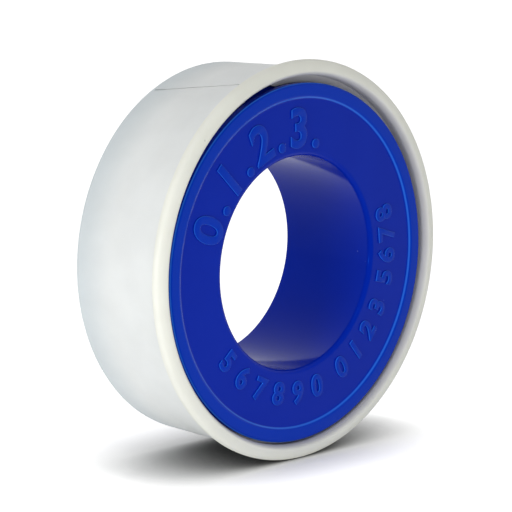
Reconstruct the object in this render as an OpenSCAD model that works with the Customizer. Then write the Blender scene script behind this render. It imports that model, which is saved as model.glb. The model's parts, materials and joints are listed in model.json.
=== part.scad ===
// Thread seal tape roll: a spool of tape that turns inside the cup-shaped shell that it clips into.
// The roll stands on its edge with its axis along Y, its open front towards -Y and its origin at its centre.
// Each moulding is drawn as it lies on a bench, back down: r is the distance from the axis and h the height above
// the back of the shell. All sizes are in millimetres.

/* [Tape] */
// Width of the tape
tape_w = 12; // [9:0.5:25]
// Thickness of the tape
tape_t = 0.075; // [0.05:0.005:0.1]
// Length of tape on a full spool
tape_len = 8000; // [4000:100:15000]

/* [Spool] */
// Diameter of the bore
bore_d = 26.8; // [18:0.1:40]
// Thickness of the hub's wall
hub_t = 1.1; // [0.7:0.05:2]
// Radial gap between the full winding and the skirt
wind_gap = 0.57; // [0.3:0.01:3]
// Thickness of the skirt behind the flange
skirt_t = 1; // [0.6:0.05:1.5]
// Height of the snap lip at the end of the skirt
lip_h = 0.45; // [0.3:0.05:0.8]
// How far the snap lip reaches under the ledge
lip_reach = 0.4; // [0.1:0.05:0.5]
// Thickness of the flange inside its raised bead
flange_t = 0.8; // [0.7:0.05:2]
// Depth of the raised bead below the front of the rim
flange_recess = 0.75; // [0.2:0.05:2]
// Radial gap between the flange and the mouth of the shell
flange_gap = 0.7; // [0.5:0.05:1.2]
// Width of the raised bead round the flange
bead_w = 1.65; // [0.8:0.05:3]
// Height of the raised bead above the face of the flange
bead_h = 0.3; // [0.1:0.05:0.6]
// Rounding of the front edge of the bore
bore_round = 0.6; // [0.2:0.05:0.7]
// How far the end of the hub stays below the back panel's outer face
hub_short = 0.4; // [0:0.05:0.4]

/* [Shell] */
// How far the rim bead stands out from the wall
rim_proud = 0.95; // [0.4:0.05:1.4]
// Width of the rim bead along the axis
rim_w = 1.45; // [1.2:0.05:3]
// Rounding of the rim bead on its outer front edge
rim_round = 0.7; // [0.3:0.05:0.9]
// Rounding of the rim bead on its inner front edge
mouth_round = 0.6; // [0.2:0.05:0.8]
// Thickness of the wall
wall_t = 1; // [0.5:0.05:1.2]
// How much the wall's radius falls from the rim to the back edge
wall_draft = 0.55; // [0:0.05:0.8]
// Rounding of the back edge
back_round = 0.9; // [0.3:0.05:1.2]
// Width of the flat foot ring on the back
foot_w = 1.2; // [0.6:0.05:3]
// Depth of the back panel below the foot ring
back_recess = 0.3; // [0.1:0.05:1]
// Thickness of the back panel
panel_t = 0.7; // [0.5:0.05:1.5]
// How far the ledge reaches in from the mouth
ledge_reach = 1; // [0.9:0.05:2]
// Thickness of the ledge at its inner edge
ledge_t = 0.6; // [0.4:0.05:1.2]

/* [Tape slit] */
// Angle of the slit's outer mouth from the top, anticlockwise seen from the front, at the middle of the tape
slit_angle = 24; // [0:0.5:60]
// Lean of the slit from the tangent of the wall
slit_lean = 39.5; // [35:0.5:60]
// Slant of the slit on the wall from the line of the axis, so that the tape tears off from one edge
slit_slant = 12.5; // [0:0.5:20]
// How far inside the wall the lead of the tape bends into the slit
slit_lead_in = 0.6; // [0.4:0.05:1]
// Width of the slit
slit_gap = 0.2; // [0.15:0.01:0.5]
// Width of the notch in the ledge, square to the slit
notch_w = 2.75; // [1.5:0.05:4]
// How far the notch starts below the slit
notch_start = 2.05; // [0:0.05:3]

/* [Clearances] */
// Radial running clearance of the spool in the shell
spool_clear = 0.45; // [0.2:0.05:0.5]
// Clearance left under the spool where it lies on the shell
rest_gap = 0.1; // [0.05:0.01:0.2]
// Clearance in front of the ledge, under the flange
flange_play = 0.2; // [0.1:0.05:0.5]
// Clearance behind the ledge, over the snap lip
lip_play = 0.1; // [0.05:0.05:0.3]
// Clearance at each edge of the tape
tape_clear = 0.15; // [0.1:0.05:1]
// Clearance between the winding and the lead where it leaves
lead_clear = 0.15; // [0.1:0.05:0.4]

/* [Hidden] */
$fn = 180;

ivory = "#eceae4";
blue = "#14289b";
tape_white = "#f6f7f7";

// Small roundings of moulded edges
edge_round = 0.3;
// Steps in a quarter of a rounding
arc_steps = 6;
// Steps along and round the twisted part of the tape's lead
film_steps = 12;
// Overlap of pieces of one moulding, and overshoot of cuts
bite = 0.2;
// Fit of the winding on the hub
wind_fit = 0.02;

// Radii, from the bore outwards
bore_r = bore_d / 2;
hub_r = bore_r + hub_t;
hole_r = hub_r + spool_clear;
wind_r = sqrt(pow(hub_r, 2) + tape_len * tape_t / PI);
skirt_in_r = wind_r + wind_gap;
skirt_r = skirt_in_r + skirt_t;
ledge_r = skirt_r + spool_clear;
lip_r = ledge_r + lip_reach;
gusset_r = lip_r + spool_clear;
mouth_r = ledge_r + ledge_reach;
flange_r = mouth_r - flange_gap;
wall_r = mouth_r + wall_t;
back_r = wall_r - wall_draft;
foot_r = back_r - back_round - foot_w;
rim_r = wall_r + rim_proud;

// Heights above the back, from the foot ring to the rim
panel_h = back_recess + panel_t;
tape_h = panel_h + tape_clear;
skirt_h = tape_h + tape_w + tape_clear;
ledge_bottom = skirt_h + lip_h + lip_play;
ledge_top = ledge_bottom + ledge_t;
flange_h = ledge_top + flange_play;
face_h = flange_h + flange_t;
bead_top = face_h + bead_h;
shell_w = bead_top + flange_recess;
rim_h = shell_w - rim_w;

// Rounding of the rim bead on its back, as large as the bead has room for
rim_back = min(rim_proud, rim_w - rim_round);
rim_back_start = -60;

// The spool lies at the bottom of its clearance
spool_drop = spool_clear - rest_gap;

// Taper of the wall, and its radius at the middle of the tape
wall_taper = wall_draft / (rim_h - back_round);
tape_mid = tape_h + tape_w / 2;
slit_r = wall_r - wall_taper * (rim_h - tape_mid);

// Slit, in the front view: its outer mouth at the middle of the tape, its direction inwards, and its tilt about that
slit_mouth = slit_r * [-sin(slit_angle), cos(slit_angle)];
slit_turn = slit_angle - slit_lean;
slit_dir = [cos(slit_turn), sin(slit_turn)];
slit_tilt = atan(sin(slit_lean) * tan(slit_slant) + cos(slit_lean) * wall_taper);
slit_len = (wall_t + slit_lead_in) / sin(slit_lean);
slit_cut_len = 2 * (ledge_reach + wall_t) / sin(slit_lean) + rim_proud;

// Notch in the ledge: its upper side, square to the slit from the axis, and its length from the slit's mouth
notch_rise = (ledge_top - tape_mid) * tan(slit_tilt);
notch_side = slit_r * cos(slit_lean) + notch_rise + notch_w - notch_start;
notch_len = slit_r * sin(slit_lean) - sqrt(max(0, pow(ledge_r, 2) - pow(notch_side, 2))) + bite;

// Lead of the tape: out of the slit, and with a slight twist to a tangent of the winding
lead_bend = slit_mouth + slit_dir * slit_len + left_of(slit_dir) * slit_gap / 2;
lead_axis = [0, -spool_drop];
lead_r = wind_r + lead_clear + tape_t / 2;
lead_arm = lead_bend - lead_axis;
lead_swing = atan2(lead_arm.y, lead_arm.x) - acos(lead_r / norm(lead_arm));
lead_start = lead_axis + lead_r * [cos(lead_swing), sin(lead_swing)];
lead_run = lead_bend - lead_start;
lead_turn = atan2(lead_run.y, lead_run.x);
lead_crease = lead_turn - slit_turn - 180;
lead_twist = atan(tan(slit_tilt) / cos(lead_crease));

// Points of a quarter or other arc, centre c, from angle a to angle b
function arc(c, r, a, b) =
    [for (i = [0 : arc_steps]) c + r * [cos(a + (b - a) * i / arc_steps), sin(a + (b - a) * i / arc_steps)]];

function left_of(v) = [-v.y, v.x];

// Stands a moulding drawn back down on its edge, with its middle at the origin
module stand() {
    rotate([90, 0, 0])
        translate([0, 0, -shell_w / 2])
            children();
}

// Moves what belongs to the spool down to where it lies in the shell
module dropped() {
    translate([0, -spool_drop, 0])
        children();
}

// Moves what is drawn along X, with its width along Z, into the plane of the slit at the middle of the tape
module in_slit() {
    translate([slit_mouth.x, slit_mouth.y, tape_mid])
        rotate([0, 0, slit_turn])
            rotate([-slit_tilt, 0, 0])
                children();
}

// A block along the slit, w wide from a start below it, from the back panel up to a height
module along_slit(len, start, w, high) {
    in_slit()
        translate([-len / 2, -start, panel_h - tape_mid])
            cube([len, w, high - panel_h]);
}

// Everything inside the outer face of the wall, which trims the end of the tape flush with it
module wall_cone() {
    translate([0, 0, back_round])
        cylinder(r1 = back_r, r2 = wall_r, h = rim_h - back_round);
}

// Section of the cup: back panel, foot ring, drafted wall and rim bead
module cup_section() {
    polygon(concat(
        [[hole_r, back_recess], [foot_r, back_recess], [foot_r, 0]],
        arc([back_r - back_round, back_round], back_round, -90, 0),
        [[wall_r, rim_h]],
        arc([rim_r - rim_back, rim_h + rim_back], rim_back, rim_back_start, 0),
        arc([rim_r - rim_round, shell_w - rim_round], rim_round, 0, 90),
        arc([mouth_r + mouth_round, shell_w - mouth_round], mouth_round, 90, 180),
        [[mouth_r, ledge_bottom], [back_r - wall_t, panel_h], [hole_r, panel_h]]
    ));
}

// Section of the ledge: flat underneath over the snap lip, and sloped where it meets the wall
module ledge_section() {
    polygon([
        [ledge_r, ledge_bottom],
        [ledge_r, ledge_top],
        [mouth_r + bite, ledge_top],
        [mouth_r + bite, ledge_bottom - (mouth_r + bite - gusset_r)],
        [gusset_r, ledge_bottom]
    ]);
}

// Shell: cup with its notched ledge and the slit that the tape leaves by
module shell() {
    color(ivory)
        stand()
            difference() {
                union() {
                    rotate_extrude()
                        cup_section();
                    difference() {
                        rotate_extrude()
                            ledge_section();
                        along_slit(2 * notch_len, notch_start, notch_w, shell_w);
                    }
                }
                along_slit(slit_cut_len, 0, slit_gap, ledge_top);
            }
}

// Section of the spool: hub, flange with its raised bead, and skirt with its snap lip
module spool_section() {
    lip_lead = 2 * lip_h / 3;
    hub_end = back_recess + hub_short;
    polygon(concat(
        arc([bore_r + edge_round, hub_end + edge_round], edge_round, 180, 270),
        [[hub_r, hub_end], [hub_r, flange_h], [skirt_in_r, flange_h], [skirt_in_r, skirt_h]],
        [[skirt_r, skirt_h], [lip_r, skirt_h + lip_lead], [lip_r, skirt_h + lip_h], [skirt_r, skirt_h + lip_h]],
        [[skirt_r, flange_h], [flange_r, flange_h]],
        arc([flange_r - edge_round, bead_top - edge_round], edge_round, 0, 90),
        [[flange_r - bead_w, bead_top], [flange_r - bead_w - bead_h, face_h]],
        arc([bore_r + bore_round, face_h - bore_round], bore_round, 90, 180)
    ));
}

// Spool: one moulding, turning about its own axis
module spool() {
    color(blue)
        stand()
            dropped()
                rotate_extrude()
                    spool_section();
}

// Winding of tape on the hub
module tape_roll() {
    color(tape_white)
        stand()
            dropped()
                translate([0, 0, tape_h])
                    difference() {
                        cylinder(r = wind_r, h = tape_w);
                        translate([0, 0, -bite])
                            cylinder(r = hub_r + wind_fit, h = tape_w + 2 * bite);
                    }
}

// End of the lead, flat in the middle of the slit's width. Its inner end follows the crease.
module lead_end() {
    skew = sin(slit_tilt) * tan(lead_crease) * tape_w / 2;
    in_slit()
        translate([0, (slit_gap + tape_t) / 2, 0])
            rotate([90, 0, 0])
                linear_extrude(tape_t)
                    polygon([
                        [-slit_len, -tape_w / 2],
                        [slit_len - skew, -tape_w / 2],
                        [slit_len + skew, tape_w / 2],
                        [-slit_len, tape_w / 2]
                    ]);
}

// Free stretch of the lead, which twists from the line of the winding to the slant of the slit
module lead_stretch() {
    run = norm(lead_run) + tape_t / 2;
    translate([lead_start.x, lead_start.y, tape_mid])
        rotate([0, 0, lead_turn])
            rotate([90, 0, 90])
                linear_extrude(run, twist = -lead_twist, slices = film_steps, $fn = film_steps)
                    square([tape_t, tape_w], center = true);
}

// Lead of the tape from the winding to the mouth of the slit, where it ends flush with the wall
module tape_lead() {
    color(tape_white)
        stand()
            intersection() {
                union() {
                    lead_end();
                    lead_stretch();
                }
                wall_cone();
            }
}

shell();
spool();
tape_roll();
tape_lead();
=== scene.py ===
# %% [markdown]
# # A roll of thread seal tape
# Plumbers wind this tape round pipe threads. It comes on a blue spool that turns inside a white cup, and the
# tape leaves the cup by a slit in its wall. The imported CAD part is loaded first. It is the frame that every piece
# below is built in: metres, the roll standing on its edge, its axis along Y and its open front towards -Y.

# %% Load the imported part
import json
import math
import random

import bmesh
import bpy
from mathutils import Matrix, Vector


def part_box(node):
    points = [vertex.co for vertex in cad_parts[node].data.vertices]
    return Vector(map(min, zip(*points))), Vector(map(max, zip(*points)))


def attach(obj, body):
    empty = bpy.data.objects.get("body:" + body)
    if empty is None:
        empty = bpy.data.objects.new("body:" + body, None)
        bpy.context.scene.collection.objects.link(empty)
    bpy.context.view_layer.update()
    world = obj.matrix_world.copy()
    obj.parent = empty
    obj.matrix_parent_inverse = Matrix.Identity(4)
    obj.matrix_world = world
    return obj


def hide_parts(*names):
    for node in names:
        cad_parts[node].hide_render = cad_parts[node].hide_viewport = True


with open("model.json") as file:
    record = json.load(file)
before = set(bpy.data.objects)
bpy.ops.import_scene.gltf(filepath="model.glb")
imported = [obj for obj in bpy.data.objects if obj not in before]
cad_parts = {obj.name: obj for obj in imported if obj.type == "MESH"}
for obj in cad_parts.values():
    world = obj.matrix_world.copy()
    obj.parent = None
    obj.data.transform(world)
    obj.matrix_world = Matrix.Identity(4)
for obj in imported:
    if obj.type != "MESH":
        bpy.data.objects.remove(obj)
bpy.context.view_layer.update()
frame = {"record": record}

MM = 0.001

# %% [markdown]
# ## Sizes
# The boxes of the CAD nodes give the outer sizes. They could be typed in again, but read from the frame they
# can't drift away from the solids. A moulded ring is easiest to think of as a section: a radius from the axis, and
# a depth behind the front of the rim. Sizes are in millimetres, and become metres where a shape is drawn.

# %% Read the main sizes from the frame
shell_low, shell_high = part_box("shell")
spool_low, spool_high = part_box("spool")
tape_low, tape_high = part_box("tape_roll")

front_y = shell_low.y
shell_depth = (shell_high.y - front_y) / MM
rim_r = shell_high.x / MM
flange_r = spool_high.x / MM
bead_depth = (spool_low.y - front_y) / MM
hub_end = (spool_high.y - front_y) / MM
wind_r = tape_high.x / MM
tape_front = (tape_low.y - front_y) / MM
tape_back = (tape_high.y - front_y) / MM
spool_z = (spool_low.z + spool_high.z) / 2
bore_r = frame["record"]["mounts"][0]["dims"]["r_mm"]
print(f"rim {rim_r:.2f}, flange {flange_r:.2f}, winding {wind_r:.2f}, bore {bore_r:.2f} mm")

# %% [markdown]
# ## Camera
# The photograph looks at the roll from its front left, a little from above, through a long lens: the far edge of
# the rim is hardly smaller than the near one. Four numbers and a point to aim at are enough, and they are easier
# to read than a place and three turns.

# %% Set up the camera
VIEW_TURN = math.radians(-45.95)
VIEW_RISE = math.radians(10.15)
VIEW_DISTANCE = 400 * MM
VIEW_AIM = Vector((-4.0, -3.81, 0.66)) * MM
LENS = 227.5
NEAR_CLIP = 10 * MM

towards_camera = Vector((
    math.sin(VIEW_TURN) * math.cos(VIEW_RISE),
    -math.cos(VIEW_TURN) * math.cos(VIEW_RISE),
    math.sin(VIEW_RISE),
))
camera = bpy.data.objects.new("camera", bpy.data.cameras.new("camera"))
bpy.context.scene.collection.objects.link(camera)
camera.location = VIEW_AIM + towards_camera * VIEW_DISTANCE
camera.rotation_euler = (-towards_camera).to_track_quat("-Z", "Y").to_euler()
camera.data.lens = LENS
camera.data.clip_start = NEAR_CLIP
bpy.context.scene.camera = camera
bpy.context.scene.view_settings.view_transform = "Standard"
print("camera at", [round(x / MM, 1) for x in camera.location], "mm")

# %% [markdown]
# ## Colours and nodes
# Colours are written as in a paint program, as sRGB hex values, and Blender's shaders calculate in linear light,
# so one function turns the first into the second. A second small function adds a node, sets it up and links it,
# which keeps a whole material readable as a short list.

# %% Helpers for materials
# A Mix node has sockets for numbers, vectors and colours. These are the ones for colours.
COLOUR_A, COLOUR_B, MIXED = 6, 7, 2


def linear(hex_colour):
    """Linear RGBA of an sRGB colour such as "#1f2e3d"."""
    parts = [int(hex_colour[i:i + 2], 16) / 255 for i in (1, 3, 5)]
    return [c / 12.92 if c <= 0.04045 else ((c + 0.055) / 1.055) ** 2.4 for c in parts] + [1.0]


def add_node(tree, kind, inputs=(), **settings):
    """Adds a node. Settings are its own, and each of the inputs is a value or the socket that feeds it."""
    node = tree.nodes.new(kind)
    for name, value in settings.items():
        setattr(node, name, value)
    for socket, value in dict(inputs).items():
        if isinstance(value, bpy.types.NodeSocket):
            tree.links.new(value, node.inputs[socket])
        else:
            node.inputs[socket].default_value = value
    return node


def start_tree(owner):
    """Gives a material or a world an empty node tree."""
    owner.use_nodes = True
    owner.node_tree.nodes.clear()
    return owner.node_tree


def dress(pieces, material, shader):
    """Links the shader to the material's output, and gives the material to the pieces."""
    add_node(material.node_tree, "ShaderNodeOutputMaterial", {"Surface": shader.outputs[0]})
    for piece in pieces:
        piece.data.materials.clear()
        piece.data.materials.append(material)
    print(material.name, "has", len(material.node_tree.nodes), "nodes")


print("mid grey is", round(linear("#808080")[0], 3), "in linear light")

# %% [markdown]
# ## Floor and light
# The roll stands on a plain white sheet in soft light. One long low lamp from the left models the round wall, two
# small strips near the floor brighten its lower half, a small lamp above the camera draws fine lights along the
# moulded edges, and a sky that is brighter overhead and on the left does the rest, so that a colour renders close
# to how it is written. White paper seen from a low angle would come out grey. More light would bleach the roll, so
# the floor and the sky are lifted to white instead, for the rays that come straight from the camera or by way of
# a shiny surface. The rays that carry light don't see the lift. Where the roll nearly touches the paper, lift and
# colour are held back, so that it keeps the dark line that everything has where it stands.

# %% Make the floor
FLOOR_REACH = 4.0

floor_bm = bmesh.new()
bmesh.ops.create_grid(floor_bm, x_segments=1, y_segments=1, size=FLOOR_REACH)
bmesh.ops.translate(floor_bm, verts=floor_bm.verts[:], vec=(0, 0, shell_low.z))
floor_mesh = bpy.data.meshes.new("floor")
floor_bm.to_mesh(floor_mesh)
floor_bm.free()
floor = bpy.data.objects.new("floor", floor_mesh)
bpy.context.scene.collection.objects.link(floor)
print("floor at", round(shell_low.z / MM, 2), "mm")

# %% Give the floor its paper
PAPER_WHITE = linear("#f6f6f6")
PURE_WHITE = linear("#ffffff")
FLOOR_LIFT = 0.74
CONTACT_REACH = 12 * MM
CONTACT_POWER = 2.0


def seen_ray(tree):
    """1 for rays from the camera, a shiny surface or glass, and 0 for those that carry light."""
    ray = add_node(tree, "ShaderNodeLightPath").outputs
    shiny = add_node(tree, "ShaderNodeMath", {0: ray["Is Glossy Ray"], 1: ray["Is Transmission Ray"]})
    seen = add_node(tree, "ShaderNodeMath", {0: ray["Is Camera Ray"], 1: shiny.outputs[0]}, use_clamp=True)
    return seen.outputs[0]


paper = bpy.data.materials.new("white paper sheet")
tree = start_tree(paper)
# Painted contact shadow: near the roll the occlusion darkens the paper's colour and its lift
near = add_node(tree, "ShaderNodeAmbientOcclusion", {
    "Color": PAPER_WHITE, "Distance": CONTACT_REACH,
}, samples=16)
seen = seen_ray(tree)
clear = add_node(tree, "ShaderNodeMath", {0: near.outputs["AO"], 1: CONTACT_POWER}, operation="POWER")
lift = add_node(tree, "ShaderNodeMath", {0: seen, 1: clear.outputs[0]}, operation="MULTIPLY")
lift = add_node(tree, "ShaderNodeMath", {0: lift.outputs[0], 1: FLOOR_LIFT}, operation="MULTIPLY")
shade = add_node(tree, "ShaderNodeMix", {
    "Factor": seen, COLOUR_A: PAPER_WHITE, COLOUR_B: near.outputs["Color"],
}, data_type="RGBA")
sheet = add_node(tree, "ShaderNodeBsdfDiffuse", {"Color": shade.outputs[MIXED]})
glow = add_node(tree, "ShaderNodeEmission", {"Color": PURE_WHITE, "Strength": lift.outputs[0]})
both = add_node(tree, "ShaderNodeAddShader", {0: sheet.outputs[0], 1: glow.outputs[0]})
dress([floor], paper, both)

# %% Make the sky
SKY_LEVEL = 0.32
SKY_SLOPE = Vector((-0.15, 0.0, 0.27))

world = bpy.data.worlds.new("soft grey sky")
bpy.context.scene.world = world
tree = start_tree(world)
direction = add_node(tree, "ShaderNodeTexCoord").outputs["Generated"]
slope = add_node(tree, "ShaderNodeVectorMath", {0: direction, 1: SKY_SLOPE}, operation="DOT_PRODUCT")
soft = add_node(tree, "ShaderNodeMath", {0: slope.outputs["Value"], 1: SKY_LEVEL})
level = add_node(tree, "ShaderNodeMapRange", {
    "Value": seen_ray(tree), "To Min": soft.outputs[0], "To Max": 1.0,
})
sky = add_node(tree, "ShaderNodeBackground", {"Color": PURE_WHITE, "Strength": level.outputs[0]})
add_node(tree, "ShaderNodeOutputWorld", {"Surface": sky.outputs[0]})
print("the sky lights the roll with a strength of", round(SKY_LEVEL + SKY_SLOPE.z, 2), "from overhead")


# %% Add the lamps
def add_lamp(name, place, width, height, power, mirrored=True):
    """Adds a rectangular lamp that points at the roll, in metres and watts. Gloss shows it if it is mirrored."""
    lamp = bpy.data.objects.new(name, bpy.data.lights.new(name, "AREA"))
    lamp.data.shape = "RECTANGLE"
    lamp.data.size = width
    lamp.data.size_y = height
    lamp.data.energy = power
    lamp.location = place
    lamp.rotation_euler = (-Vector(place)).to_track_quat("-Z", "Y").to_euler()
    lamp.visible_glossy = mirrored
    bpy.context.scene.collection.objects.link(lamp)
    print(name, "is", round(Vector(place).length, 2), "m from the roll")


add_lamp("long low lamp on the left", place=(-0.62, -0.07, 0.005), width=0.25, height=0.06, power=1.05)
add_lamp("small lamp above the camera", place=(-0.24, -0.3, 0.34), width=0.07, height=0.07, power=0.18)
add_lamp(
    "strip near the floor in front", place=(-0.025, -0.075, -0.018), width=0.1, height=0.012, power=0.012,
    mirrored=False,
)
add_lamp(
    "strip near the floor on the left", place=(-0.085, 0.0, -0.018), width=0.1, height=0.012, power=0.006,
    mirrored=False,
)

# %% [markdown]
# ## Turned sections
# Cup, spool and winding are all round, so each is a section that is spun once round the axis. The section starts
# as a face with sharp corners. Bevelling its vertices rounds each corner by its own amount, as a mould maker would,
# and then only the outline is spun. A list of points for every small arc would be longer and harder to change.

# %% Helpers that spin a section
TURN_STEPS = 288
ROUND_SEGMENTS = 5
SHARP_ANGLE = math.radians(35)
SAME_POINT = 0.001 * MM


def spin_section(corners, axis_z=0.0):
    """Spins a section round the roll's axis. Each corner is (radius, depth, rounding) in millimetres."""
    bm = bmesh.new()
    verts = [bm.verts.new((radius * MM, front_y + depth * MM, axis_z)) for radius, depth, _ in corners]
    bm.faces.new(verts)
    for vert, (_, _, rounding) in zip(verts, corners):
        if rounding:
            bmesh.ops.bevel(
                bm, geom=[vert], offset=rounding * MM, offset_type="OFFSET", segments=ROUND_SEGMENTS,
                profile=0.5, affect="VERTICES", material=-1,
            )
    bmesh.ops.delete(bm, geom=bm.faces[:], context="FACES_ONLY")
    bmesh.ops.spin(
        bm, geom=bm.verts[:] + bm.edges[:], cent=(0, 0, axis_z), axis=(0, 1, 0),
        angle=2 * math.pi, steps=TURN_STEPS, use_merge=True,
    )
    bmesh.ops.remove_doubles(bm, verts=bm.verts[:], dist=SAME_POINT)
    bmesh.ops.recalc_face_normals(bm, faces=bm.faces[:])
    return bm


def make_object(name, bm):
    """A smooth-shaded object of the bmesh, with its sharp edges kept."""
    mesh = bpy.data.meshes.new(name)
    bm.to_mesh(mesh)
    bm.free()
    mesh.shade_smooth()
    mesh.set_sharp_from_angle(angle=SHARP_ANGLE)
    piece = bpy.data.objects.new(name, mesh)
    bpy.context.scene.collection.objects.link(piece)
    return piece


print("one turn has", TURN_STEPS, "steps")

# %% [markdown]
# ## Cup
# The cup is one white moulding: a back with a hole for the spool's hub, a flat foot ring to lie on, a wall that
# tapers so that it comes out of the mould, and a thick rolled rim. Inside the mouth runs a ledge that the spool
# clips behind. Loops could be cut into a cylinder and moved in and out, but a section with its corners in order
# shows the moulding at a glance. The wall gets a few rings along its length, which the next step needs.

# %% Set the sizes of the cup
wall_r = 24.05
wall_thickness = 1.0
mouth_r = wall_r - wall_thickness
mouth_flare = 0.4
back_r = 23.5
back_round = 0.9
back_thickness = 1.0
foot_r = 21.4
foot_height = 0.3
hole_r = 14.95
rim_width = 1.45
rim_top_r = 24.1
rim_crown = 0.55
rim_undercut = 0.05
ledge_r = 22.05
ledge_front = 2.05
ledge_back = 2.65
gusset_r = 22.9
gusset_end = ledge_back + (mouth_r - gusset_r)
panel_front = shell_depth - back_thickness
panel_back = shell_depth - foot_height
wall_taper = (wall_r - back_r) / (shell_depth - back_round - rim_width)
WALL_RINGS = 10
WALL_FRONT_MARGIN = 0.4
WALL_BACK_MARGIN = 0.2


def wall_at(depth):
    """Outer radius of the tapering wall."""
    return wall_r - wall_taper * (depth - rim_width)


wall_start = rim_width + WALL_FRONT_MARGIN
wall_end = shell_depth - back_round - WALL_BACK_MARGIN
wall_depths = [wall_end + (wall_start - wall_end) * i / WALL_RINGS for i in range(WALL_RINGS + 1)]
print("the wall tapers by", round(math.degrees(math.atan(wall_taper)), 1), "degrees")

# %% Spin the cup
shell_bm = spin_section([
    (hole_r, panel_back, 0.12),
    (foot_r, panel_back, 0.1),
    (foot_r, shell_depth, 0.12),
    (back_r, shell_depth, back_round),
    *[(wall_at(depth), depth, 0) for depth in wall_depths],
    (wall_r, rim_width, 0.12),
    (rim_r, rim_width - rim_undercut, 0.25),
    (rim_r, rim_crown, 0.4),
    (rim_top_r, 0, 0.5),
    (mouth_r + mouth_flare, 0, 0.32),
    (mouth_r, rim_crown, 0.32),
    (mouth_r, ledge_front, 0.12),
    (ledge_r, ledge_front, 0.1),
    (ledge_r, ledge_back, 0.08),
    (gusset_r, ledge_back, 0.1),
    (wall_at(gusset_end) - wall_thickness, gusset_end, 0.1),
    (back_r - wall_thickness, panel_front, 0.3),
    (hole_r, panel_front, 0.12),
])
print("cup has", len(shell_bm.faces), "faces")

# %% [markdown]
# ## Slit and notch
# The tape leaves by a slit that leans through the wall, so that the tape comes off the winding without a sharp
# bend, and that slants along the wall, so that it tears off from one edge. The thin wall has sunk a little along
# the slit, which shows as a soft crease with one bright and one dark side. Where the slit meets the ledge, the
# ledge has a notch, and the blue of the spool shows in it. The cuts are Booleans, because the slit crosses the
# facets of the wall at an angle. The cutter for the notch is a piece of ring, so that it takes away the ledge and
# leaves the wall.

# %% Find the slit
slit_angle = math.radians(24)
slit_lean = math.radians(39.5)
slit_slant = math.radians(12.5)
slit_gap = 0.12
slit_middle = (tape_front + tape_back) / 2
slit_r = wall_at(slit_middle)
slit_turn = slit_angle - slit_lean
slit_tilt = math.atan(math.sin(slit_lean) * math.tan(slit_slant) + math.cos(slit_lean) * wall_taper)

slit_mouth = Vector((-math.sin(slit_angle) * slit_r, 0, math.cos(slit_angle) * slit_r)) * MM
slit_mouth.y = front_y + slit_middle * MM
slit_frame = (
    Matrix.Translation(slit_mouth)
    @ Matrix.Rotation(-slit_turn, 4, "Y")
    @ Matrix.Rotation(-slit_tilt, 4, "X")
)
print("slit mouth at", [round(x / MM, 2) for x in slit_mouth], "mm")

# %% Sink the wall along the slit
CREASE_SINK = 0.12
CREASE_REACH = 1.2
CREASE_FADE = 2.0
WALL_SLACK = 0.1
SINK_COUNTED = 0.01

moved = 0
for vert in shell_bm.verts:
    radius = math.hypot(vert.co.x, vert.co.z) / MM
    depth = (vert.co.y - front_y) / MM
    if radius > back_r - WALL_SLACK and wall_start - WALL_SLACK < depth < wall_end + WALL_SLACK:
        slit_here = -slit_angle + (slit_middle - depth) * math.tan(slit_slant) / slit_r
        away = abs(math.atan2(vert.co.x, vert.co.z) - slit_here) * radius
        fade = min(1, (depth - wall_start) / CREASE_FADE, (wall_end - depth) / CREASE_FADE)
        sink = CREASE_SINK * max(0, fade) * math.exp(-away / CREASE_REACH)
        vert.co.x *= 1 - sink / radius
        vert.co.z *= 1 - sink / radius
        moved += sink > SINK_COUNTED
shell = make_object("cup_shell", shell_bm)
print(moved, "points of the wall sunk along the slit")

# %% Make the cutter for the slit
SLIT_CUT = 7.0

slit_bm = bmesh.new()
slit_room = Vector((0, (panel_front + ledge_front) / 2 - slit_middle, slit_gap / 2)) * MM
slit_size = Vector((SLIT_CUT, panel_front - ledge_front, slit_gap)) * MM
bmesh.ops.create_cube(
    slit_bm, size=1.0, matrix=slit_frame @ Matrix.Translation(slit_room) @ Matrix.Diagonal((*slit_size, 1.0)),
)
slit_cutter = make_object("slit_cutter", slit_bm)
print("slit cutter is", [round(x / MM, 2) for x in slit_size], "mm")

# %% Spin a piece of ring for the notch
notch_inner_r = ledge_r - 1.5
notch_outer_r = mouth_r + 0.02
notch_far_r = mouth_r - 0.03
notch_front = ledge_front - 0.2
notch_back = gusset_end + 0.2
NOTCH_FROM = math.radians(-50)
NOTCH_SWEEP = math.radians(65)
NOTCH_STEPS = TURN_STEPS // 6


def whole(bm):
    """All that a bmesh holds, as its operators ask for it."""
    return bm.faces[:] + bm.edges[:] + bm.verts[:]


notch_bm = bmesh.new()
notch_section = [
    (notch_inner_r, notch_front),
    (notch_outer_r, notch_front),
    (notch_outer_r, ledge_back),
    (notch_far_r, notch_back),
    (notch_inner_r, notch_back),
]
notch_bm.faces.new([
    notch_bm.verts.new((0, front_y + depth * MM, radius * MM)) for radius, depth in notch_section
])
bmesh.ops.rotate(
    notch_bm, verts=notch_bm.verts[:], cent=(0, 0, 0), matrix=Matrix.Rotation(NOTCH_FROM, 3, "Y"),
)
bmesh.ops.spin(
    notch_bm, geom=whole(notch_bm), cent=(0, 0, 0), axis=(0, 1, 0),
    angle=NOTCH_SWEEP, steps=NOTCH_STEPS, use_merge=False,
)
print("ring for the notch has", len(notch_bm.faces), "faces")

# %% Trim the ring to the width of the notch
notch_start = 2.05
notch_width = 2.75
ON_PLANE = 1e-7

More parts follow.
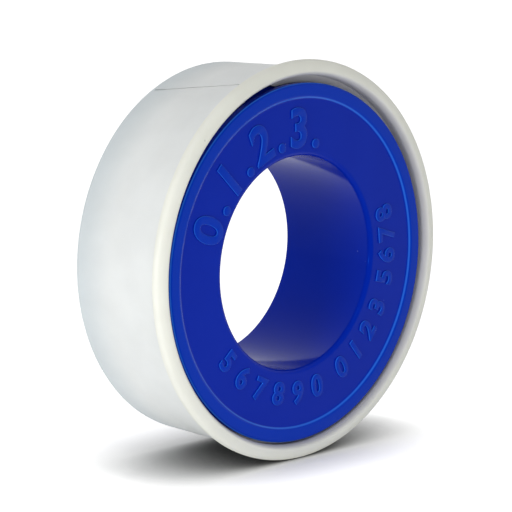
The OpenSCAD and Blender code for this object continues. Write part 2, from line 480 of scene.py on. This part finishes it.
across_slit = slit_frame.to_3x3() @ Vector((0, 0, 1))
for offset, keep_above in ((-notch_start, True), (notch_width - notch_start, False)):
    bmesh.ops.bisect_plane(
        notch_bm, geom=whole(notch_bm), dist=ON_PLANE,
        plane_co=slit_mouth + across_slit * offset * MM, plane_no=across_slit,
        clear_inner=keep_above, clear_outer=not keep_above,
    )
    bmesh.ops.holes_fill(notch_bm, edges=[e for e in notch_bm.edges if e.is_boundary], sides=0)
bmesh.ops.recalc_face_normals(notch_bm, faces=notch_bm.faces[:])
print("notch cutter is closed:", not any(e.is_boundary for e in notch_bm.edges))
notch_cutter = make_object("notch_cutter", notch_bm)


# %% Cut the slit and the notch
def cut_away(piece, cutter):
    """Takes the cutter's shape out of the piece for good, and removes the cutter."""
    cut = piece.modifiers.new("cut", "BOOLEAN")
    cut.operation = "DIFFERENCE"
    cut.solver = "EXACT"
    cut.object = cutter
    after = bpy.data.meshes.new_from_object(piece.evaluated_get(bpy.context.evaluated_depsgraph_get()))
    piece.modifiers.clear()
    piece.data = after
    bpy.data.objects.remove(cutter)


faces_before = len(shell.data.polygons)
cut_away(shell, notch_cutter)
cut_away(shell, slit_cutter)
shell.data.set_sharp_from_angle(angle=SHARP_ANGLE)
print("cutting changed the cup from", faces_before, "to", len(shell.data.polygons), "faces")

# %% [markdown]
# ## Spool
# The spool is one blue moulding too: a hub with an open bore, a flange with a raised bead round its edge, and
# behind the flange a thin skirt with a lip that snaps in behind the cup's ledge. It is spun as the cup was, but
# round an axis of its own: it lies a third of a millimetre low in the cup, as it does on the table.

# %% Spin the spool
hub_r = 14.5
skirt_in_r = 20.6
skirt_r = 21.6
skirt_end = 3.2
lip_r = 22.45
lip_front = 2.75
lip_slope = 0.3
bead_width = 1.65
bead_height = 0.3
flange_thickness = 0.8
face_depth = bead_depth + bead_height
flange_back = face_depth + flange_thickness

spool_bm = spin_section([
    (bore_r, hub_end, 0.3),
    (hub_r, hub_end, 0.15),
    (hub_r, flange_back, 0.15),
    (skirt_in_r, flange_back, 0.15),
    (skirt_in_r, skirt_end, 0.08),
    (skirt_r, skirt_end, 0.08),
    (lip_r, skirt_end - lip_slope, 0.05),
    (lip_r, lip_front, 0.05),
    (skirt_r, lip_front, 0.06),
    (skirt_r, flange_back, 0.06),
    (flange_r, flange_back, 0.12),
    (flange_r, bead_depth, 0.32),
    (flange_r - bead_width, bead_depth, 0.2),
    (flange_r - bead_width - bead_height, face_depth, 0.14),
    (bore_r, face_depth, 0.6),
], axis_z=spool_z)
spool = make_object("spool_moulding", spool_bm)
print("spool has", len(spool.data.polygons), "faces")

# %% [markdown]
# ## Raised numerals
# The flange carries raised numerals: four large ones, each with a point, over the bore, and three short groups of
# small ones under it. They could be bump in the material, but a real step catches the light from every side. Each
# is a text curve with a little depth and a rounded edge, turned into a mesh before it is placed, and all of them
# are joined to one piece that rides on the spool.

# %% Helpers that make a numeral and place it
RAISE = 0.26
SINK = 0.06
EDGE = 0.12
EDGE_STEPS = 3
DIGIT_SHARE = 0.7
numerals_bm = bmesh.new()


def digit_mesh(character, height, weight):
    """A mesh of one character, height millimetres tall, facing +Z. Weight thickens its strokes."""
    curve = bpy.data.curves.new("digit", "FONT")
    curve.body = character
    curve.align_x = "CENTER"
    curve.size = height * MM / DIGIT_SHARE
    curve.extrude = ((RAISE + SINK) / 2 - EDGE) * MM
    curve.bevel_depth = EDGE * MM
    curve.bevel_resolution = EDGE_STEPS
    curve.offset = (weight - EDGE) * MM
    carrier = bpy.data.objects.new("digit", curve)
    bpy.context.scene.collection.objects.link(carrier)
    mesh = bpy.data.meshes.new_from_object(carrier.evaluated_get(bpy.context.evaluated_depsgraph_get()))
    bpy.data.objects.remove(carrier)
    return mesh


def place_digit(character, height, weight, radius, angle, tops_inwards=False):
    """Adds a character to the numerals, at an angle clockwise from the top of the flange, in degrees."""
    mesh = digit_mesh(character, height, weight)
    known = set(numerals_bm.verts)
    numerals_bm.from_mesh(mesh)
    bpy.data.meshes.remove(mesh)
    to_flange = (
        Matrix.Translation((0, front_y + (face_depth - (RAISE - SINK) / 2) * MM, spool_z))
        @ Matrix.Rotation(math.radians(angle), 4, "Y")
        @ Matrix.Translation((0, 0, radius * MM))
        @ Matrix.Rotation(math.pi if tops_inwards else 0, 4, "Y")
        @ Matrix.Rotation(math.pi / 2, 4, "X")
        @ Matrix.Translation((0, -height / 2 * MM, 0))
    )
    bmesh.ops.transform(numerals_bm, matrix=to_flange, verts=[v for v in numerals_bm.verts if v not in known])


print("numerals stand", RAISE, "mm above the face")

# %% Make the raised numerals
BIG_DIGITS = "0123"
BIG_HEIGHT = 4.7
BIG_WEIGHT = 0.2
BIG_RADIUS = 17.0
BIG_PITCH = 23
SMALL_HEIGHT = 2.7
SMALL_WEIGHT = 0.14
SMALL_RADIUS = 16.3
# Angle of the first digit, angle from one to the next, digits
SMALL_GROUPS = ((-130, 12.4, "567890"), (151, 11.3, "0123"), (103.5, 9.8, "5678"))

for index, character in enumerate(BIG_DIGITS):
    angle = (index - len(BIG_DIGITS) + 1) * BIG_PITCH
    place_digit(character, BIG_HEIGHT, BIG_WEIGHT, BIG_RADIUS, angle)
    place_digit(".", BIG_HEIGHT, BIG_WEIGHT, BIG_RADIUS, angle + BIG_PITCH / 2)
for first, pitch, group in SMALL_GROUPS:
    for index, character in enumerate(group):
        angle = first - index * pitch
        place_digit(character, SMALL_HEIGHT, SMALL_WEIGHT, SMALL_RADIUS, angle, tops_inwards=True)
bmesh.ops.remove_doubles(numerals_bm, verts=numerals_bm.verts[:], dist=SAME_POINT)
bmesh.ops.recalc_face_normals(numerals_bm, faces=numerals_bm.faces[:])
numerals = make_object("raised_numerals", numerals_bm)
print("numerals have", len(numerals.data.polygons), "faces")

# %% [markdown]
# ## Tape
# Inside the cup sits the tape: about seventy turns of thin white film, whose edges never lie quite level. A spiral
# would be truer, but rings look the same and close without a seam, so the section is a comb with one tooth for each
# turn. A strip leads from the winding to the slit, twists a little on its way because the slit slants, and ends
# flush with the wall.

# %% Spin the winding
TAPE_THICKNESS = 0.075
EDGE_SCATTER = 0.05
HUB_CLEAR = 0.02
SCATTER_SEED = 12

uneven = random.Random(SCATTER_SEED)
turn_count = int((wind_r - hub_r) / TAPE_THICKNESS)
turn_step = (wind_r - hub_r - HUB_CLEAR) / turn_count
front_edge, back_edge = [], []
for index in range(turn_count):
    inner = hub_r + HUB_CLEAR + index * turn_step
    outer = inner + turn_step
    front = tape_front + uneven.uniform(0, EDGE_SCATTER)
    back = tape_back - uneven.uniform(0, EDGE_SCATTER)
    front_edge += [(inner, front, 0), (outer, front, 0)]
    back_edge += [(inner, back, 0), (outer, back, 0)]
winding = make_object("tape_winding", spin_section(front_edge + back_edge[::-1], axis_z=spool_z))
print("winding has", turn_count, "turns and", len(winding.data.polygons), "faces")

# %% Find the way of the lead
LEAD_CLEAR = 0.15
LEAD_IN = 0.6

lead_inside = (wall_thickness + LEAD_IN) / math.sin(slit_lean)
lead_bend = slit_frame @ (Vector((lead_inside, 0, slit_gap / 2)) * MM)
lead_radius = (wind_r + LEAD_CLEAR + TAPE_THICKNESS / 2) * MM
arm = Vector((lead_bend.x, lead_bend.z - spool_z))
swing = math.atan2(arm.y, arm.x) - math.acos(lead_radius / arm.length)
lead_start = Vector((math.cos(swing) * lead_radius, lead_bend.y, math.sin(swing) * lead_radius + spool_z))
lead_run = lead_bend - lead_start
outwards = slit_frame.to_3x3() @ Vector((-1, 0, 0))
lead_twist = math.atan(math.tan(slit_tilt) / outwards.dot(lead_run.normalized()))
print("lead is", round(lead_run.length / MM, 1), "mm long to its crease")
print("lead twists by", round(math.degrees(lead_twist), 1), "degrees")

# %% Lay the lead of the tape
LEAD_STEPS = 12
LEAD_PAST_WALL = 3

lead_bm = bmesh.new()
half_tape = Vector((0, (tape_back - tape_front) / 2 * MM, 0))
start_corners = [lead_bm.verts.new(lead_start - half_tape), lead_bm.verts.new(lead_start + half_tape)]
strip = [lead_bm.edges.new(start_corners)]
steps = [(lead_run / LEAD_STEPS, lead_twist / LEAD_STEPS)] * LEAD_STEPS + [(outwards * LEAD_PAST_WALL * MM, 0)]
middle = lead_start.copy()
for step, twist in steps:
    grown = bmesh.ops.extrude_edge_only(lead_bm, edges=strip)["geom"]
    ends = [g for g in grown if isinstance(g, bmesh.types.BMVert)]
    strip = [g for g in grown if isinstance(g, bmesh.types.BMEdge)]
    bmesh.ops.translate(lead_bm, verts=ends, vec=step)
    middle += step
    bmesh.ops.rotate(lead_bm, verts=ends, cent=middle, matrix=Matrix.Rotation(twist, 3, lead_run))
wall_out = Vector((slit_mouth.x, 0, slit_mouth.z)).normalized()
wall_out.y = wall_taper
bmesh.ops.bisect_plane(
    lead_bm, geom=whole(lead_bm), dist=ON_PLANE,
    plane_co=slit_mouth - wall_out * CREASE_SINK * MM, plane_no=wall_out, clear_outer=True,
)
bmesh.ops.recalc_face_normals(lead_bm, faces=lead_bm.faces[:])
bmesh.ops.solidify(lead_bm, geom=lead_bm.faces[:], thickness=TAPE_THICKNESS * MM)
lead = make_object("tape_lead_strip", lead_bm)
print("lead has", len(lead.data.polygons), "faces")

# %% [markdown]
# ## White polypropylene
# The cup is injection-moulded polypropylene, left nearly in its natural colour. The thin wall looks a cool milky
# white and the thick rim a warmer ivory, and light goes a little way into it. The surface of the mould leaves a
# fine grain and handling leaves small dark specks. Painted shade makes the wall greyer towards its back and the
# mouth grey. An image could carry all this, but patterns that are worked out from Object coordinates need no
# unwrapping and have no seams.

# %% Mix the cup's colours
IVORY_START, IVORY_FULL = 2.4, 1.2
GREY_START = 9
MELT_CLOUD = 5 * MM
# Most of a noise texture's values lie between these two
NOISE_LOW, NOISE_HIGH = 0.3, 0.7

cup_plastic = bpy.data.materials.new("moulded white polypropylene")
tree = start_tree(cup_plastic)
place = add_node(tree, "ShaderNodeTexCoord").outputs["Object"]
along = add_node(tree, "ShaderNodeSeparateXYZ", {0: place}).outputs["Y"]
# The wall is painted greyer towards its back as a painted shade, and goes over to ivory where the moulding gets
# thick
back_shade = add_node(tree, "ShaderNodeMapRange", {
    "Value": along, "From Min": front_y + GREY_START * MM, "From Max": front_y + shell_depth * MM,
}, interpolation_type="SMOOTHSTEP").outputs[0]
thick = add_node(tree, "ShaderNodeMapRange", {
    "Value": along, "From Min": front_y + IVORY_START * MM, "From Max": front_y + IVORY_FULL * MM,
}, interpolation_type="SMOOTHSTEP").outputs[0]
wall = add_node(tree, "ShaderNodeMix", {
    "Factor": back_shade, COLOUR_A: linear("#ebeeed"), COLOUR_B: linear("#d3dbde"),
}, data_type="RGBA")
milk = add_node(tree, "ShaderNodeMix", {
    "Factor": thick, COLOUR_A: wall.outputs[MIXED], COLOUR_B: linear("#f1f2e8"),
}, data_type="RGBA")
# Soft clouds of a few millimetres, where the melt flowed together
cloud = add_node(tree, "ShaderNodeTexNoise", {"Vector": place, "Scale": 1 / MELT_CLOUD, "Detail": 3.0})
tint = add_node(tree, "ShaderNodeMapRange", {
    "Value": cloud.outputs[0], "From Min": NOISE_LOW, "From Max": NOISE_HIGH, "To Min": 0.965, "To Max": 1.02,
})
clouded = add_node(tree, "ShaderNodeVectorMath", {
    0: milk.outputs[MIXED], "Scale": tint.outputs[0],
}, operation="SCALE")
print("the cup is ivory in front of", IVORY_START, "mm and milky white behind")

# %% Add painted shade in the mouth and specks to the cup
MOUTH_SHADE_REACH = 0.7
MOUTH_SHADE_SHARE = 0.85
MOUTH_SHADE_FULL, MOUTH_SHADE_END = 3, 4
SPECK_SPACING = 3.5 * MM
# Parts of the spacing, and how far a speck covers the colour under it
SPECK_CORE, SPECK_EDGE, SPECK_COVER = 0.02, 0.05, 0.25


def speckle(tree, place, spacing, share):
    """Small soft dots in a share of the cells of a pattern: a socket that is 0 between the dots."""
    cells = add_node(tree, "ShaderNodeTexVoronoi", {"Vector": place, "Scale": 1 / spacing})
    chance = add_node(tree, "ShaderNodeSeparateXYZ", {0: cells.outputs["Color"]})
    chosen = add_node(tree, "ShaderNodeMath", {0: chance.outputs[0], 1: share}, operation="LESS_THAN")
    dot = add_node(tree, "ShaderNodeMapRange", {
        "Value": cells.outputs["Distance"],
        "From Min": SPECK_EDGE, "From Max": SPECK_CORE, "To Max": SPECK_COVER,
    })
    dots = add_node(tree, "ShaderNodeMath", {0: dot.outputs[0], 1: chosen.outputs[0]}, operation="MULTIPLY")
    return dots.outputs[0]


# Painted shade inside the mouth, between the rim and the flange, turns it grey
flat = add_node(tree, "ShaderNodeVectorMath", {0: place, 1: (1, 0, 1)}, operation="MULTIPLY")
radius = add_node(tree, "ShaderNodeVectorMath", {0: flat.outputs[0]}, operation="LENGTH")
inside = add_node(tree, "ShaderNodeMapRange", {
    "Value": radius.outputs["Value"],
    "From Min": (mouth_r + MOUTH_SHADE_REACH) * MM, "From Max": mouth_r * MM, "To Max": MOUTH_SHADE_SHARE,
}, interpolation_type="SMOOTHSTEP")
front = add_node(tree, "ShaderNodeMapRange", {
    "Value": along, "From Min": front_y + MOUTH_SHADE_END * MM, "From Max": front_y + MOUTH_SHADE_FULL * MM,
})
mouth_shade = add_node(tree, "ShaderNodeMath", {0: inside.outputs[0], 1: front.outputs[0]}, operation="MULTIPLY")
mouth_shaded = add_node(tree, "ShaderNodeMix", {
    "Factor": mouth_shade.outputs[0], COLOUR_A: clouded.outputs[0], COLOUR_B: linear("#b4b3b4"),
}, data_type="RGBA")
# Dark specks, a tenth of a millimetre across and drawn larger so that they show, more of them on the rim
share = add_node(tree, "ShaderNodeMapRange", {"Value": thick, "To Min": 0.1, "To Max": 0.3})
specks = speckle(tree, place, SPECK_SPACING, share.outputs[0])
colour = add_node(tree, "ShaderNodeMix", {
    "Factor": specks, COLOUR_A: mouth_shaded.outputs[MIXED], COLOUR_B: linear("#8a8678"),
}, data_type="RGBA")
print("specks are", round(2 * SPECK_EDGE * SPECK_SPACING / MM, 2), "mm across with their soft edge")

# %% Give the cup its grain and its shader
# Grain of the mould, finer on the real cup and drawn at a third of a millimetre so that it shows
CUP_GRAIN = 0.33 * MM
GRAIN_DEPTH = 0.02 * MM

grain = add_node(tree, "ShaderNodeTexNoise", {"Vector": place, "Scale": 1 / CUP_GRAIN, "Detail": 2.0})
rough = add_node(tree, "ShaderNodeMapRange", {
    "Value": grain.outputs[0], "From Min": NOISE_LOW, "From Max": NOISE_HIGH, "To Min": 0.38, "To Max": 0.5,
})
bump = add_node(tree, "ShaderNodeBump", {
    "Height": grain.outputs[0], "Strength": 0.12, "Distance": GRAIN_DEPTH,
})
shader = add_node(tree, "ShaderNodeBsdfPrincipled", {
    "Base Color": colour.outputs[MIXED], "Roughness": rough.outputs[0], "Normal": bump.outputs[0],
    "IOR": 1.49, "Subsurface Weight": 0.25, "Subsurface Radius": (1.0, 0.97, 0.9), "Subsurface Scale": 1.0 * MM,
})
dress([shell], cup_plastic, shader)

# %% [markdown]
# ## Blue polypropylene
# The spool is the same plastic with a strong blue pigment, from a polished mould. It shines, but the face reflects
# little and stays blue, and only the bore, seen at a flat angle, mirrors its white surroundings. A low specular
# level gives that. Turning in the cup has left faint rings on it, and there is a little dust. The bead and the
# numerals carry a painted highlight, lightest along their edges.

# %% Mix the spool's colours
PIGMENT_CLOUD = 7 * MM
# Heights above the face where the painted highlight begins and where it is full, for edges and for what stands
# higher
EDGE_HIGHLIGHT_START, EDGE_HIGHLIGHT_FULL = 0.03, 0.1
TOP_HIGHLIGHT_START, TOP_HIGHLIGHT_FULL = 0.18, 0.25
DUST_SPACING = 2.6 * MM
DUSTY_CELLS = 0.22

blue_plastic = bpy.data.materials.new("moulded blue polypropylene")
tree = start_tree(blue_plastic)
place = add_node(tree, "ShaderNodeTexCoord").outputs["Object"]
along = add_node(tree, "ShaderNodeSeparateXYZ", {0: place}).outputs["Y"]
# Clouds of pigment, several millimetres wide
cloud = add_node(tree, "ShaderNodeTexNoise", {"Vector": place, "Scale": 1 / PIGMENT_CLOUD, "Detail": 3.0})
deep = add_node(tree, "ShaderNodeMix", {
    "Factor": cloud.outputs[0], COLOUR_A: linear("#0224a8"), COLOUR_B: linear("#062ab2"),
}, data_type="RGBA")
# What stands up from the face, the bead and the numerals, is painted lighter as a painted highlight, and most of
# all at its edges
edges = add_node(tree, "ShaderNodeMapRange", {
    "Value": along,
    "From Min": front_y + (face_depth - EDGE_HIGHLIGHT_START) * MM, "From Max": front_y + (face_depth - EDGE_HIGHLIGHT_FULL) * MM,
})
highlighted = add_node(tree, "ShaderNodeMix", {
    "Factor": edges.outputs[0], COLOUR_A: deep.outputs[MIXED], COLOUR_B: linear("#2c6ce0"),
}, data_type="RGBA")
raised = add_node(tree, "ShaderNodeMapRange", {
    "Value": along,
    "From Min": front_y + (face_depth - TOP_HIGHLIGHT_START) * MM, "From Max": front_y + (face_depth - TOP_HIGHLIGHT_FULL) * MM,
})
body = add_node(tree, "ShaderNodeMix", {
    "Factor": raised.outputs[0], COLOUR_A: highlighted.outputs[MIXED], COLOUR_B: linear("#0436ba"),
}, data_type="RGBA")
# Dust, drawn a little coarser than it is
dust = speckle(tree, place, DUST_SPACING, DUSTY_CELLS)
colour = add_node(tree, "ShaderNodeMix", {
    "Factor": dust, COLOUR_A: body.outputs[MIXED], COLOUR_B: linear("#8fa4e0"),
}, data_type="RGBA")
print("rubbed edges start", EDGE_HIGHLIGHT_START, "mm above the face")

# %% Give the spool its rings and its shader
RING_SPACING = 0.5 * MM
SPOOL_GRAIN = 0.4 * MM

# Rings round the axis: a pattern of the radius alone
centred = add_node(tree, "ShaderNodeMapping", {
    "Vector": place, "Location": (0, 0, -spool_z), "Scale": (1, 0, 1),
})
radius = add_node(tree, "ShaderNodeVectorMath", {0: centred.outputs[0]}, operation="LENGTH")
rings = add_node(tree, "ShaderNodeTexNoise", {
    "W": radius.outputs["Value"], "Scale": 1 / RING_SPACING, "Detail": 2.0,
}, noise_dimensions="1D")
rough = add_node(tree, "ShaderNodeMapRange", {
    "Value": rings.outputs[0], "From Min": NOISE_LOW, "From Max": NOISE_HIGH, "To Min": 0.1, "To Max": 0.16,
})
grain = add_node(tree, "ShaderNodeTexNoise", {"Vector": place, "Scale": 1 / SPOOL_GRAIN, "Detail": 2.0})
bump = add_node(tree, "ShaderNodeBump", {
    "Height": grain.outputs[0], "Strength": 0.06, "Distance": GRAIN_DEPTH,
})
shader = add_node(tree, "ShaderNodeBsdfPrincipled", {
    "Base Color": colour.outputs[MIXED], "Roughness": rough.outputs[0], "Normal": bump.outputs[0],
    "IOR": 1.49, "Specular IOR Level": 0.15, "Specular Tint": linear("#277cf3"),
})
dress([spool, numerals], blue_plastic, shader)

# %% [markdown]
# ## Tape film
# Thread seal tape is soft, unsintered PTFE film: matt, very white, and drawn in one direction, which leaves fine
# lines along it. A noise that is stretched round the roll gives such lines, and no two of them are alike.

# %% Make the tape's material
LINE_SPACING = 0.25 * MM
LINE_DEPTH = 0.02 * MM
LINE_STRETCH = (0.02, 1.0, 0.02)

film = bpy.data.materials.new("drawn PTFE film")
tree = start_tree(film)
place = add_node(tree, "ShaderNodeTexCoord").outputs["Object"]
# Lines along the tape: the pattern changes fast across it, along Y, and slowly round the roll
stretch = add_node(tree, "ShaderNodeMapping", {"Vector": place, "Scale": LINE_STRETCH})
lines = add_node(tree, "ShaderNodeTexNoise", {
    "Vector": stretch.outputs[0], "Scale": 1 / LINE_SPACING, "Detail": 2.0,
})
white = add_node(tree, "ShaderNodeMix", {
    "Factor": lines.outputs[0], COLOUR_A: linear("#eeeff0"), COLOUR_B: linear("#f8f9f9"),
}, data_type="RGBA")
rough = add_node(tree, "ShaderNodeMapRange", {"Value": lines.outputs[0], "To Min": 0.5, "To Max": 0.68})
bump = add_node(tree, "ShaderNodeBump", {"Height": lines.outputs[0], "Strength": 0.2, "Distance": LINE_DEPTH})
shader = add_node(tree, "ShaderNodeBsdfPrincipled", {
    "Base Color": white.outputs[MIXED], "Roughness": rough.outputs[0], "Normal": bump.outputs[0], "IOR": 1.35,
})
dress([winding, lead], film, shader)

# %% [markdown]
# ## Bodies
# Each piece now takes the place of its CAD node and rides on the body that the node belongs to, so that the spool,
# its numerals and the winding turn together in the cup. Weighted normals let the roundings run into the flats
# without a visible edge.

# %% Tie the pieces to the frame
for piece, body, node, slot in (
    (shell, "shell", "shell", "shell"),
    (spool, "spool", "spool", "spool"),
    (numerals, "spool", None, "spool"),
    (winding, "spool", "tape_roll", "tape"),
    (lead, "shell", "tape_lead", "tape"),
):
    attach(piece, body)
    if node:
        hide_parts(node)
    print(piece.name, "rides on", body)

for piece in (shell, spool):
    even = piece.modifiers.new("even shading", "WEIGHTED_NORMAL")
    even.keep_sharp = True
